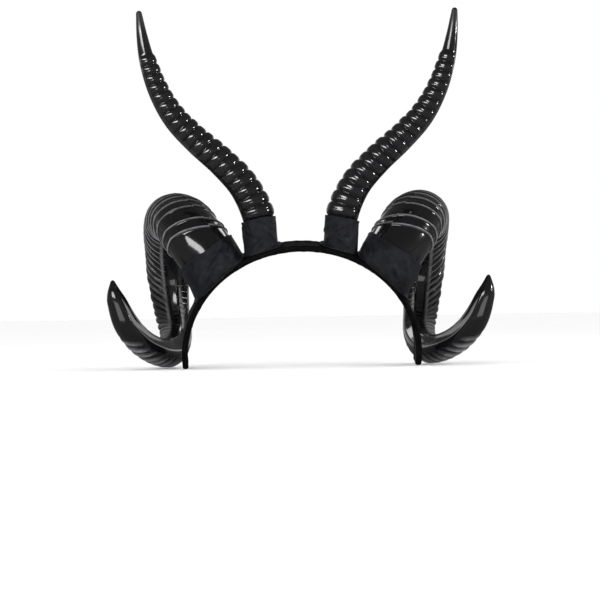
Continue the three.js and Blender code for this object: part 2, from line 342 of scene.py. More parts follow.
def scale_uv(mesh, size):
    """The UV map in centimetres of cloth, so that one weave fits every wrap."""
    layer = mesh.uv_layers["UVMap"]
    uv = np.zeros(len(layer.uv) * 2, np.float32)
    layer.uv.foreach_get("vector", uv)
    uv = uv.reshape(-1, 2) * (np.array(size, np.float32) * 100)
    layer.uv.foreach_set("vector", uv.ravel())


def face_outwards(mesh, middle):
    """Turns an open sleeve's faces away from the points middle, if they look inwards."""
    centre = np.zeros(len(mesh.polygons) * 3)
    normal = np.zeros(len(mesh.polygons) * 3)
    mesh.polygons.foreach_get("center", centre)
    mesh.polygons.foreach_get("normal", normal)
    out = (centre.reshape(-1, 3) - middle) * normal.reshape(-1, 3)
    if out.sum() < 0:
        mesh.flip_normals()


def add_piece(name, mesh, node, material):
    """Shows the mesh in place of a CAD node."""
    piece = bpy.data.objects.new(name, mesh)
    bpy.context.scene.collection.objects.link(piece)
    piece.data.materials.append(material)
    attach(piece, "root")
    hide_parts(node)
    return piece


FOOT_SEARCH = (-0.02, 0.045)
FOOT_TRIES = 900


def foot_distance(skin_at, columns, lift):
    """How far along a horn each column of its skin leaves the arch's face, raised by lift."""
    tried = np.linspace(*FOOT_SEARCH, FOOT_TRIES)[:, None] * np.ones(columns)
    inside = arch_share(skin_at(tried), lift) < 1
    last = np.where(inside.any(0), len(tried) - 1 - inside[::-1].argmax(0), 0)
    return tried[last, np.arange(columns)]


# %% [markdown]
# ## Materials: what the three finishes have in common
# The horns are glossy black plastic, the wraps are dull stretch cloth and the band has a smoother
# cover cloth. Nothing is one flat colour: handling leaves faint scratches and a veil of dust in the
# grooves, and cloth shows its threads. Each shared effect is a node group with named inputs and
# outputs, so every material can use it with its own values.

# %% Node helpers
def new_group(name, inputs, outputs):
    """An empty node group of numbers. inputs is {name: default}, and outputs is a list of names."""
    group = bpy.data.node_groups.new(name, "ShaderNodeTree")
    for label, value in inputs.items():
        socket = group.interface.new_socket(label, in_out="INPUT", socket_type="NodeSocketFloat")
        socket.default_value = value
    for label in outputs:
        group.interface.new_socket(label, in_out="OUTPUT", socket_type="NodeSocketFloat")
    return group, group.nodes.new("NodeGroupInput"), group.nodes.new("NodeGroupOutput")


def math_node(tree, operation, a, b=None, clamp=False):
    """A Math node. a and b are sockets or numbers."""
    node = tree.nodes.new("ShaderNodeMath")
    node.operation = operation
    node.use_clamp = clamp
    for socket, value in zip(node.inputs, (a, b)):
        if isinstance(value, bpy.types.NodeSocket):
            tree.links.new(value, socket)
        elif value is not None:
            socket.default_value = value
    return node.outputs[0]


def times(tree, a, b, clamp=False):
    return math_node(tree, "MULTIPLY", a, b, clamp)


def plus(tree, a, b, clamp=False):
    return math_node(tree, "ADD", a, b, clamp)


def noise_node(tree, vector, scale, detail=4, roughness=0.5):
    node = tree.nodes.new("ShaderNodeTexNoise")
    node.inputs["Scale"].default_value = scale
    node.inputs["Detail"].default_value = detail
    node.inputs["Roughness"].default_value = roughness
    tree.links.new(vector, node.inputs["Vector"])
    return node.outputs["Fac"]


def range_node(tree, value, low, high, to_low=0.0, to_high=1.0):
    """Maps low..high to to_low..to_high, smoothly and without going past."""
    node = tree.nodes.new("ShaderNodeMapRange")
    node.interpolation_type = "SMOOTHSTEP"
    for label, number in {
        "From Min": low, "From Max": high, "To Min": to_low, "To Max": to_high,
    }.items():
        node.inputs[label].default_value = number
    tree.links.new(value, node.inputs["Value"])
    return node.outputs["Result"]


PATTERN_COLUMNS = ("scale", "detail", "roughness", "starts at", "full at")
PATTERNS = {
    "scratch lines": (1, 2, 0.5, 0.66, 0.72),
    "scratched patches": (30, 3, 0.5, 0.48, 0.62),
    "specks": (900, 2, 0.7, 0.62, 0.74),
    "dust clouds": (45, 4, 0.5, 0.42, 0.7),
    "worn threads": (60, 5, 0.6, 0.35, 0.7),
    "rubbed cloth": (150, 3, 0.6, 0.42, 0.68),
    # the crests' pale grey: a painted highlight, partly rubbed wear, in uneven patches
    "uneven pale crests": (180, 3, 0.5, 0.3, 0.6),
    "drifting gloss": (70, 5, 0.6, 0.3, 0.72),
}


def pattern(tree, where, name, to_low=0.0, to_high=1.0):
    """Patches of a noise in the table: to_low outside them and to_high inside."""
    row = dict(zip(PATTERN_COLUMNS, PATTERNS[name]))
    noise = noise_node(tree, where, row["scale"], row["detail"], row["roughness"])
    return range_node(tree, noise, row["starts at"], row["full at"], to_low, to_high)


def stretched(tree, vector, scale, turn):
    node = tree.nodes.new("ShaderNodeMapping")
    node.inputs["Scale"].default_value = scale
    node.inputs["Rotation"].default_value = turn
    tree.links.new(vector, node.inputs["Vector"])
    return node.outputs["Vector"]


def coordinates(tree, kind):
    return tree.nodes.new("ShaderNodeTexCoord").outputs[kind]


def attribute(tree, name):
    """A mask that roll_blank put on the mesh."""
    node = tree.nodes.new("ShaderNodeAttribute")
    node.attribute_name = name
    return node.outputs["Fac"]


def mixed(tree, factor, a, b):
    """A colour between a and b, which are sockets or colours."""
    node = tree.nodes.new("ShaderNodeMix")
    node.data_type = "RGBA"
    tree.links.new(factor, node.inputs["Factor"])
    for socket, value in ((node.inputs[6], a), (node.inputs[7], b)):
        if isinstance(value, bpy.types.NodeSocket):
            tree.links.new(value, socket)
        else:
            socket.default_value = value
    return node.outputs[2]


# %% Shared effect: scratches from handling
# how fine the noise is along x, y and z, and its turn about x, y and z
SCRATCH_DIRECTIONS = [
    ((700, 60, 60), (0, 0.5, 0.3)),
    ((60, 800, 70), (0.4, 0, 1.1)),
    ((80, 60, 900), (0.9, 0.3, 0)),
]


def make_scratches():
    tree, inside, outside = new_group("handling_scratches", {"Amount": 1.0}, ["Mask"])
    where = coordinates(tree, "Object")
    lines = 0.0
    for scale, turn in SCRATCH_DIRECTIONS:
        line = pattern(tree, stretched(tree, where, scale, turn), "scratch lines")
        lines = math_node(tree, "MAXIMUM", lines, line)
    mask = times(tree, lines, pattern(tree, where, "scratched patches"))
    tree.links.new(times(tree, mask, inside.outputs["Amount"]), outside.inputs["Mask"])
    return tree


# %% Shared effect: a veil of dust
SPECKS_SHARE = 0.25
LEAST_IN_GROOVES = 0.35


def make_dust():
    tree, inside, outside = new_group("settled_dust", {"Groove": 0.0, "Amount": 1.0}, ["Mask"])
    where = coordinates(tree, "Object")
    clouds = plus(tree, pattern(tree, where, "dust clouds"), LEAST_IN_GROOVES)
    in_grooves = times(tree, inside.outputs["Groove"], clouds)
    specks = times(tree, pattern(tree, where, "specks"), SPECKS_SHARE)
    veil = plus(tree, specks, in_grooves, clamp=True)
    tree.links.new(times(tree, veil, inside.outputs["Amount"], clamp=True), outside.inputs["Mask"])
    return tree


# %% Shared effect: threads of a cloth that follows its UV map, in centimetres
LOOP_SLANT = 1.6
LOOP_HEIGHT = 0.5
FUZZ = {"scale": 2600, "detail": 2}
FUZZ_HEIGHT = 0.5
SHADE_BY_WEAR = 0.7


def make_threads():
    """Columns of loops across the cloth, and rows of loops up it that lean left and right."""
    tree, inside, outside = new_group("cloth_threads", {"Threads": 20.0, "Rib": 0.5}, ["Height", "Shade"])
    where = coordinates(tree, "Object")
    split = tree.nodes.new("ShaderNodeSeparateXYZ")
    tree.links.new(coordinates(tree, "UV"), split.inputs[0])
    turns = times(tree, inside.outputs["Threads"], 2 * math.pi)
    across = times(tree, split.outputs["X"], turns)
    up = times(tree, split.outputs["Y"], turns)
    wale = math_node(tree, "ABSOLUTE", math_node(tree, "SINE", times(tree, across, 0.5)))
    course = math_node(tree, "SINE", plus(tree, up, times(tree, wale, LOOP_SLANT)))
    course = times(tree, plus(tree, course, 1), 0.5)
    ribs = times(tree, wale, inside.outputs["Rib"])
    height = plus(tree, times(tree, course, LOOP_HEIGHT), ribs)
    fuzz = noise_node(tree, where, FUZZ["scale"], FUZZ["detail"])
    height = plus(tree, height, times(tree, fuzz, FUZZ_HEIGHT))
    tree.links.new(height, outside.inputs["Height"])
    wear = times(tree, pattern(tree, where, "worn threads"), SHADE_BY_WEAR)
    shade = plus(tree, wear, times(tree, course, 1 - SHADE_BY_WEAR))
    tree.links.new(shade, outside.inputs["Shade"])
    return tree


SCRATCHES, DUST, THREADS = make_scratches(), make_dust(), make_threads()
print("shared effects:", [group.name for group in bpy.data.node_groups])


def new_material(name):
    """An empty material: its node tree, its Principled shader, and a Bump node that feeds it."""
    material = bpy.data.materials.new(name)
    material.use_nodes = True
    tree = material.node_tree
    shader = tree.nodes["Principled BSDF"]
    bump = tree.nodes.new("ShaderNodeBump")
    tree.links.new(bump.outputs["Normal"], shader.inputs["Normal"])
    return material, tree, shader, bump


def effect(tree, group, **values):
    """A shared effect in a material. The values are sockets or numbers."""
    node = tree.nodes.new("ShaderNodeGroup")
    node.node_tree = group
    for label, value in values.items():
        if isinstance(value, bpy.types.NodeSocket):
            tree.links.new(value, node.inputs[label])
        else:
            node.inputs[label].default_value = value
    return node


# %% [markdown]
# ## Glossy horn plastic
# The horns are cast in black plastic and look wet. The gloss isn't perfect: the moulding has a
# slight orange-peel ripple, the roughness drifts in clouds, and the narrow grooves hold some dust.
# The thin lips of the ridges have a painted highlight of pale grey, partly wear where hands hold them.
# The crests of the rings and the points of the tall horns are only a little dull. A clear coat on
# a dark base gives the deep gloss with sharp lights on top, and it is worn off where it is rubbed.

# %% Horn material
HORN_BLACKS = ((0.0045, 0.0045, 0.005, 1), (0.009, 0.009, 0.0105, 1))
# pale grey painted on the ridges' lips: a painted highlight, partly rubbed wear
HIGHLIGHT_AND_RUBBED_GREY = (0.33, 0.33, 0.34, 1)
DUST_GREY = (0.022, 0.0215, 0.02, 1)
# least share of that painted highlight and wear on a crest
PALE_CRESTS_EVENLY = 0.55
GLOSS_ROUGHNESS = (0.1, 0.18)
ROUGHER_WITH = {"scratches": 0.2, "rubbed": 0.5, "worn": 0.42, "dust": 0.45}
COAT = 0.6
COAT_ROUGHNESS = 0.05
WORN_FROM_TO = (0.02, 0.04)
BLOTCHES = {"scale": 25, "detail": 4}
FLOW = {"scale": 55, "detail": 2}
PEEL = {"scale": 260, "detail": 2}
BUMP_OF = {"flow": 2.2, "peel": 0.35, "scratches": 0.12}
BUMP_STRENGTH = 0.35
BUMP_DISTANCE = 0.0003


def make_horn_material():
    material, tree, shader, bump = new_material("horn_gloss_black")
    where = coordinates(tree, "Object")
    crest = attribute(tree, "crest")
    masks = {
        "scratches": effect(tree, SCRATCHES, Amount=0.8).outputs["Mask"],
        # pale crests: a painted highlight on the lips and edges, partly rubbed wear
        "rubbed": times(tree, crest, pattern(tree, where, "uneven pale crests", PALE_CRESTS_EVENLY, 1.0)),
        "worn": range_node(tree, crest, *WORN_FROM_TO),
        "dust": effect(tree, DUST, Groove=attribute(tree, "groove"), Amount=0.2).outputs["Mask"],
    }
    colour = mixed(tree, noise_node(tree, where, **BLOTCHES), *HORN_BLACKS)
    # the pale grey of the painted highlight, partly rubbed wear, on the crests
    colour = mixed(tree, masks["rubbed"], colour, HIGHLIGHT_AND_RUBBED_GREY)
    colour = mixed(tree, masks["dust"], colour, DUST_GREY)
    tree.links.new(colour, shader.inputs["Base Color"])
    rough = pattern(tree, where, "drifting gloss", *GLOSS_ROUGHNESS)
    for name, amount in ROUGHER_WITH.items():
        rough = plus(tree, rough, times(tree, masks[name], amount), clamp=True)
    tree.links.new(rough, shader.inputs["Roughness"])
    flow = times(tree, noise_node(tree, where, **FLOW), BUMP_OF["flow"])
    peel = times(tree, noise_node(tree, where, **PEEL), BUMP_OF["peel"])
    cuts = times(tree, masks["scratches"], BUMP_OF["scratches"])
    height = math_node(tree, "SUBTRACT", plus(tree, flow, peel), cuts)
    tree.links.new(height, bump.inputs["Height"])
    bump.inputs["Strength"].default_value = BUMP_STRENGTH
    bump.inputs["Distance"].default_value = BUMP_DISTANCE
    shader.inputs["IOR"].default_value = 1.5
    tree.links.new(range_node(tree, masks["worn"], 0.0, 1.0, COAT, 0.0), shader.inputs["Coat Weight"])
    shader.inputs["Coat Roughness"].default_value = COAT_ROUGHNESS
    return material


# %% [markdown]
# ## Stretch cloth and cover cloth
# The wraps are dull knitted stretch cloth: rows of loops that lean left and right, with a soft
# sheen from the fibres' ends. The band's cover is finer and smoother. Both use the same threads,
# with their own number of threads to the centimetre, and both have patches that are rubbed paler
# and some lint.

# %% Cloth materials
LINT_GREY = (0.09, 0.09, 0.092, 1)
RUBBED_TIMES_PALER = 2
RUBBED_SHARE = 0.5
ROUGHER_WHERE_WORN = 0.1


def make_cloth_material(name, dark, light, threads, rib, rough, relief, gloss):
    material, tree, shader, bump = new_material(name)
    cloth = effect(tree, THREADS, Threads=threads, Rib=rib)
    lint = effect(tree, DUST, Groove=0.0, Amount=0.5).outputs["Mask"]
    colour = mixed(tree, cloth.outputs["Shade"], dark, light)
    rubbed = pattern(tree, coordinates(tree, "Object"), "rubbed cloth", 0.0, RUBBED_SHARE)
    colour = mixed(tree, rubbed, colour, tuple(RUBBED_TIMES_PALER * value for value in light[:3]) + (1,))
    colour = mixed(tree, lint, colour, LINT_GREY)
    tree.links.new(colour, shader.inputs["Base Color"])
    roughness = range_node(tree, cloth.outputs["Shade"], 0.0, 1.0, rough, rough + ROUGHER_WHERE_WORN)
    tree.links.new(roughness, shader.inputs["Roughness"])
    tree.links.new(cloth.outputs["Height"], bump.inputs["Height"])
    bump.inputs["Strength"].default_value = 0.6
    bump.inputs["Distance"].default_value = relief
    shader.inputs["Sheen Weight"].default_value = 0.01
    shader.inputs["Sheen Roughness"].default_value = 0.45
    shader.inputs["Specular IOR Level"].default_value = gloss
    return material


HORN_GLOSS = make_horn_material()
WRAP_CLOTH = make_cloth_material(
    "wrap_stretch_cloth", (0.0042, 0.0046, 0.0068, 1), (0.0105, 0.0113, 0.0162, 1),
    threads=18.0, rib=0.9, rough=0.44, relief=0.0002, gloss=0.28,
)
COVER_CLOTH = make_cloth_material(
    "band_cover_cloth", (0.0012, 0.0012, 0.0014, 1), (0.0032, 0.0032, 0.0036, 1),
    threads=26.0, rib=0.4, rough=0.55, relief=0.00008, gloss=0.08,
)
print("materials:", [m.name for m in (HORN_GLOSS, WRAP_CLOTH, COVER_CLOTH)])

# %% [markdown]
# ## The ram horns
# A ram's horn is three-sided: two hollow flats face the heart of the coil and meet at a keel, and
# the round back carries the ridges. In front the ridges are thin raised lips far apart, and behind
# the head they crowd into rope-like bulges. A section is drawn once, resampled to even columns and
# softened at its corners, and is then carried along the horn's line by the blank.

# %% Section of the ram horn
RAM_COLUMNS_ROUND = 96
KEEL = (-0.28, 0.95)
OUTER_EDGE = (0.4, 0.86)
HEAD_EDGE = (-0.9, 0.42)
FLAT_HOLLOW = 0.035
FLAT_POINTS = 60
EDGE_RIDGED = {"outer": 0.8, "head": 0.25}
RIDGE_WRAPS_OVER = 0.06
SEAM_AT = 0.43
SEAM_WIDTH = 0.02


def flat_between(start, end, ridged_start, ridged_end, back):
    """One hollow flat: across, inward, share of the ridges' height, and place round the back."""
    t = np.linspace(0, 1, FLAT_POINTS)[:, None]
    line = np.array(start) + (np.array(end) - np.array(start)) * t
    line = line * (1 - FLAT_HOLLOW * np.sin(math.pi * t))
    near_start = ridged_start * np.exp(-((t / RIDGE_WRAPS_OVER) ** 2))
    near_end = ridged_end * np.exp(-(((1 - t) / RIDGE_WRAPS_OVER) ** 2))
    return np.hstack([line, near_start + near_end, np.full_like(t, back)])


def ram_section():
    start = math.atan2(HEAD_EDGE[1], HEAD_EDGE[0])
    end = math.atan2(OUTER_EDGE[1], OUTER_EDGE[0]) + 2 * math.pi
    t = np.linspace(0, 1, 400)
    angle = start + (end - start) * t
    edge = 0.12
    radius = 1 - (1 - math.hypot(*HEAD_EDGE)) * (1 - smoothstep(t, 0, edge))
    radius = radius - (1 - math.hypot(*OUTER_EDGE)) * smoothstep(t, 1 - edge, 1)
    ridged = EDGE_RIDGED["head"] + (1 - EDGE_RIDGED["head"]) * smoothstep(t, 0, 0.1)
    ridged = ridged - (1 - EDGE_RIDGED["outer"]) * smoothstep(t, 0.95, 1)
    back = np.stack([radius * np.cos(angle), radius * np.sin(angle), ridged, t], 1)
    loop = np.vstack([
        flat_between(KEEL, HEAD_EDGE, 0, EDGE_RIDGED["head"], 0), back[1:-1],
        flat_between(OUTER_EDGE, KEEL, EDGE_RIDGED["outer"], 0, 1),
    ])
    walked = walked_along(loop[:, :2])
    even = np.linspace(0, walked[-1], RAM_COLUMNS_ROUND - 3, endpoint=False)
    seam_point = FLAT_POINTS + SEAM_AT * (len(back) - 2)
    seam = np.interp(seam_point, range(len(loop)), walked)
    even = np.sort(np.concatenate([even, seam + SEAM_WIDTH * np.array([-1, 0, 1])]))
    section = np.stack([np.interp(even, walked, loop[:, k]) for k in range(4)], 1)
    at_seam = np.argmin(np.abs(even - seam))
    shape = section[:, :3]
    section[:, :3] = (np.roll(shape, 1, 0) + 2 * shape + np.roll(shape, -1, 0)) / 4
    return section, at_seam


RAM_SECTION, SEAM_COLUMN = ram_section()
print("ram section:", RAM_SECTION.shape[0], "columns")


# %% Skin of the ram horn
def ram_frames(line):
    """Inward, to the heart of the coil, and across, outward from the head, all along the line."""
    heart = ram_foot + np.array([RAM_HEART["out"], RAM_HEART["back"], RAM_HEART["up"]]) * RAM_SIZES
    inward = heart - line.centre
    inward = unit(inward - (inward * line.along).sum(1, keepdims=True) * line.along)
    across = np.cross(inward, line.along)
    turn = np.radians(line.column["turn"])[:, None]
    return inward * np.cos(turn) + across * np.sin(turn), across * np.cos(turn) - inward * np.sin(turn)


RAM_INWARD, RAM_ACROSS = ram_frames(ram_line)


def ram_skin(distance, grow=0.0, lift=0.0):
    """Points of the skin, at distance[row, column], grown evenly and lifted where it is ridged."""
    section = RAM_SECTION[None]
    raised = grow + lift * section[..., 2]
    deep = ram_line.read(distance, "deep") * RAM_RADIUS + raised
    wide = ram_line.read(distance, "wide") * RAM_RADIUS + raised
    centre = ram_line.middle(distance)
    across = ram_line.vector(distance, RAM_ACROSS) * (section[..., 0] * wide)[..., None]
    inward = ram_line.vector(distance, RAM_INWARD) * (section[..., 1] * deep)[..., None]
    return centre + across + inward


# %% Ridges of the ram horn
LIPS_IN_FRONT = [0.0395, 0.0465, 0.0575, 0.064, 0.0702]
LIP_WIDTH = 0.0006
LIP_ROWS = np.array([-0.0013, -0.00075, -0.0004, 0, 0.0004, 0.00075, 0.0013])
ROPE_ROWS = np.array([0, 0.025, 0.06, 0.12, 0.2, 0.3, 0.42, 0.54, 0.66, 0.77, 0.86, 0.93, 0.975])
ROPE_HEIGHT = 1.8
FADING_RIDGES = 3
LATE_RIDGES_HIGHER = 1.0
# where each change starts and is complete, in ridges counted from the wrap
SEAM_ENDS = (5, 9)
SWEPT_FROM = (4, 10)
ROPES_FROM = (12, 18)
SLANTED_AGAIN = (17, 26)
CARVED_FROM = (19, 25)
# from here the crests' painted highlight and rubbing come back on the ropes
CRESTS_PALE_AGAIN = (20, 25)
HIGHER_FROM = (22, 27)
ROPES_LOWER = (24, 28)
# the same in metres along the horn
SMOOTH_HEAD_SIDE = (0.08, 0.13)
SMOOTH_SIDE_WIDENS = (0.16, 0.26)
SLANT_IN_FRONT = 0.024
SWEEP_BEHIND = 0.027
SLANT_BELOW = 0.022
SEAM_OFFSET = 0.0016
SEAM_HEIGHT = 0.0003
RNG = np.random.default_rng(41)


def ridge_places():
    """Where each ridge has its crest, and where it starts and ends, halfway to its neighbours."""
    behind = LIPS_IN_FRONT[-1] + RIDGE_PITCH * np.arange(1, RIDGE_COUNT - len(LIPS_IN_FRONT) + 1)
    crest = np.concatenate([LIPS_IN_FRONT, behind])
    between = (crest[1:] + crest[:-1]) / 2
    return crest, np.concatenate([[crest[0] - RIDGE_PITCH / 2], between, [crest[-1] + RIDGE_PITCH / 2]])


RIDGE_CREST, RIDGE_AT = ridge_places()
ridge_height = RIDGE_HEIGHT * RNG.uniform(0.85, 1.15, RIDGE_COUNT)
ridge_height *= smoothstep((RIDGE_COUNT - np.arange(RIDGE_COUNT)) / FADING_RIDGES, 0, 1)
ridge_height *= 1 + LATE_RIDGES_HIGHER * smoothstep(np.arange(RIDGE_COUNT), *HIGHER_FROM)
ridge_sway = RNG.uniform(-1, 1, (RIDGE_COUNT, 2))
print(f"ridges from {RIDGE_AT[0] * 1000:.0f} to {RIDGE_AT[-1] * 1000:.0f} mm along the horn")


def ridge_shape(ridge, rope):
    """Distance and height of a ridge's rows: a thin lip in front, a rope-like bulge behind the head."""
    start, crest, end = RIDGE_AT[ridge], RIDGE_CREST[ridge], RIDGE_AT[ridge + 1]
    before = start + (crest + LIP_ROWS[0] - start) * np.array([0, 1, 2]) / 3
    after = end + (crest + LIP_ROWS[-1] - end) * np.array([3, 2, 1]) / 4
    thin = np.concatenate([before, crest + LIP_ROWS, after])
    lip = np.exp(-(((thin - crest) / LIP_WIDTH) ** 2))
    bulge = ROPE_HEIGHT * (1 - np.abs(2 * ROPE_ROWS - 1) ** 2.4) ** 0.7
    distance = thin * (1 - rope) + (start + (end - start) * ROPE_ROWS) * rope
    return distance[:, None], (lip * (1 - rope) + bulge * rope)[:, None]


def ridge_path(ridge):
    """How far each column's ridge lies beyond its place: it sways, slants, and steps at the seam."""
    back = RAM_SECTION[:, 3][None]
    calm = min(1, ridge / 2) * min(1, (RIDGE_COUNT - ridge) / FADING_RIDGES)
    sway = ridge_sway[ridge, 0] * np.sin(2 * math.pi * back) + ridge_sway[ridge, 1] * np.cos(math.pi * back)
    behind = smoothstep(ridge, *SWEPT_FROM)
    before_seam = np.arange(RAM_COLUMNS_ROUND)[None] < SEAM_COLUMN
    step = SEAM_OFFSET * ridge_sway[ridge, 0] * (1 - behind) * before_seam
    below = smoothstep(ridge, *SLANTED_AGAIN)
    front = np.clip(SLANT_IN_FRONT * (back - 0.45), -0.004, 0.0065)
    swept = SWEEP_BEHIND * np.clip(2 * back - 1, 0, 1) ** 1.5
    slant = front * (1 - behind) + swept * (behind - below) + SLANT_BELOW * (back - 0.5) * below
    return 0.0005 * calm * sway + step + slant


def ram_horn_rows():
    """Distance, lift, and groove and crest masks of every row and column of the ridged part."""
    back = RAM_SECTION[:, 3][None]
    seam = SEAM_HEIGHT * (np.arange(RAM_COLUMNS_ROUND)[None] == SEAM_COLUMN)
    distance, lift, groove, crest = [], [], [], []
    for ridge in range(RIDGE_COUNT):
        rope = smoothstep(ridge, *ROPES_FROM) * (1 - 0.3 * smoothstep(ridge, *ROPES_LOWER))
        along, profile = ridge_shape(ridge, rope)
        late = smoothstep(RIDGE_AT[ridge], *SMOOTH_SIDE_WIDENS)
        smooth = smoothstep(RIDGE_AT[ridge], *SMOOTH_HEAD_SIDE)
        shown = 1 - smooth * (1 - smoothstep(back, 0.08, 0.24 + 0.06 * late))
        distance.append(along + ridge_path(ridge))
        carved = 0.95 * profile.max() * smoothstep(ridge, *CARVED_FROM)
        mould_seam = seam * (1 - smoothstep(ridge, *SEAM_ENDS))
        lift.append(ridge_height[ridge] * (profile - carved) * shown + mould_seam)
        hollow = (1 - np.clip(profile, 0, 1)) ** 3 * rope
        mask = shown * np.clip(RAM_SECTION[:, 2] / 0.6, 0, 1) * min(1, ridge_height[ridge] * 1000)
        groove.append(hollow * mask)
        # the ropes hold back the crests' pale painted highlight and rubbing, until the late ridges
        crest_held_back = 0.95 * rope * (1 - 0.75 * smoothstep(ridge, *CRESTS_PALE_AGAIN))
        crest.append(np.clip(profile / profile.max(), 0, 1) ** 3 * mask * (1 - crest_held_back))
    return [np.vstack(rows) for rows in (distance, lift, groove, crest)]


# %% [markdown]
# ## Foot and point
# A horn is glued flat on the band, so its foot ends on the arch's curve, with a cap across it. Each
# column of the skin is followed down to where it meets the arch. The point is rounded off over its
# own last radius, so that it isn't a cut cylinder.

# %% Close a foot, and space the rows of a point
CAP_ROWS = 5


def foot_cap(ring, lift):
    """Rows from the middle of the foot out to its rim, lying on the arch's face."""
    middle = ring.mean(0)
    share = np.linspace(0, 1, CAP_ROWS + 1)[:-1, None, None]
    rows = middle + (ring - middle) * share
    return seated(rows, lift)


def point_rows(start, end, count, crowd=1.6):
    """Rows of distances that leave each column's start and crowd towards the end."""
    t = np.linspace(0, 1, count + 1)[1:, None]
    return start + (end - start) * (1 - (1 - t) ** crowd)


def rounded_end(distance, length, radius):
    """Share of the section left at each distance, where the last radius of the horn is rounded."""
    near = np.clip((distance - (length - radius)) / radius, 0, 1)
    return np.sqrt(np.clip(1 - near**2, 0, 1))


# %% Build the ram horns
RAM_FOOT_ROWS = 12
RAM_POINT_ROWS = 60
RAM_POINT_ROUND = 0.0012
# the outer edge of a ram horn is painted pale grey in front: a painted highlight, partly rubbed wear, fading
# out along the horn
EDGE_HIGHLIGHT_AND_RUBBED = 0.7
EDGE_DULLS_OUT = (0.2, 0.26)
RAM_EDGE = np.exp(-(((RAM_SECTION[:, 3] - 1) / 0.012) ** 2)) * smoothstep(RAM_SECTION[:, 2], 0.3, 0.7)

ram_foot_at = foot_distance(ram_skin, RAM_COLUMNS_ROUND, CLEARANCE)
print(f"ram foot cut from {ram_foot_at.min() * 1000:.1f} to {ram_foot_at.max() * 1000:.1f} mm along the line")


def ram_horn_skin():
    distance, lift, groove, crest = ram_horn_rows()
    share = np.linspace(0, 1, RAM_FOOT_ROWS + 1)[:-1, None]
    foot = ram_foot_at + (distance[0] - ram_foot_at) * share
    point = point_rows(distance[-1], ram_line.length, RAM_POINT_ROWS)
    distance = np.vstack([foot, distance, point])
    lift = np.vstack([0 * foot, lift, 0 * point])
    # painted highlight along the outer edge, partly rubbed wear
    edge = EDGE_HIGHLIGHT_AND_RUBBED * RAM_EDGE * (1 - smoothstep(distance, *EDGE_DULLS_OUT))
    masks = {
        "groove": np.vstack([0 * foot, groove, 0 * point]),
        "crest": np.maximum(np.vstack([0 * foot, crest, 0 * point]), edge),
    }
    skin = ram_skin(distance, lift=lift)
    centre = ram_line.middle(distance)
    keep = rounded_end(distance, ram_line.length, RAM_POINT_ROUND)[..., None]
    skin = centre + (skin - centre) * keep
    cap = foot_cap(skin[0], CLEARANCE)
    masks = {name: np.vstack([0 * cap[..., 0], mask]) for name, mask in masks.items()}
    return np.vstack([cap, skin]), masks


def add_horns(kind, skin, masks):
    """The right horn, and the left one as its mirror image."""
    for side, word in ((1, "right"), (-1, "left")):
        mesh = roll_blank(f"{kind}_horn_{word}_moulding", skin * [side, 1, 1], masks=masks)
        add_piece(mesh.name, mesh, f"{kind}_horn_{word}", HORN_GLOSS)
        print(mesh.name, len(mesh.polygons), "faces")


add_horns("ram", *ram_horn_skin())

# %% [markdown]
# ## The gazelle horns
# These are nearly round in section, with nineteen raised rings. The rings stand out in front,
# behind and towards the other horn, and melt away on the outer side, which stays smooth, as it does
# above the last ring. Every ring differs a little in height and tilt, because the mould was taken
# from a carved pattern.

# %% Skin of the gazelle horn
GAZELLE_COLUMNS_ROUND = 64
GAZELLE_ANGLE = np.arange(GAZELLE_COLUMNS_ROUND) / GAZELLE_COLUMNS_ROUND * 2 * math.pi
RING_FADE = (-0.93, -0.55)


def gazelle_frames(line):
    """Front, which faces the viewer, and inner, towards the other horn, all along the line."""
    front = np.array([0, -1, 0]) + line.along[:, 1:2] * line.along
    front = unit(front)
    return front, np.cross(front, line.along)


GAZELLE_FRONT, GAZELLE_INNER = gazelle_frames(gazelle_line)


def gazelle_skin(distance, grow=0.0, lift=0.0):
    radius = gazelle_line.read(distance, "thick") * GAZELLE_RADIUS + grow
    radius = radius + lift * smoothstep(np.cos(GAZELLE_ANGLE), *RING_FADE)
    centre = gazelle_line.middle(distance)
    inner = gazelle_line.vector(distance, GAZELLE_INNER) * (np.cos(GAZELLE_ANGLE) * radius)[..., None]
    front = gazelle_line.vector(distance, GAZELLE_FRONT) * (np.sin(GAZELLE_ANGLE) * radius)[..., None]
    return centre + inner + front


# %% Rings of the gazelle horn
RING_PHASES = np.array([0, 0.05, 0.12, 0.22, 0.34, 0.44, 0.5, 0.56, 0.66, 0.78, 0.88, 0.95])
LAST_RING_SHARE = 0.7
GROWTH_LINE = 0.1
RING_RUBBED = 0.02


def ring_profile(phase):
    """A rounded ring with a narrow groove on each side and a faint growth line round its crest."""
    bulge = (1 - np.abs(2 * phase - 1) ** 2.3) ** 0.62
    return bulge - GROWTH_LINE * np.exp(-(((phase - 0.5) / 0.05) ** 2))


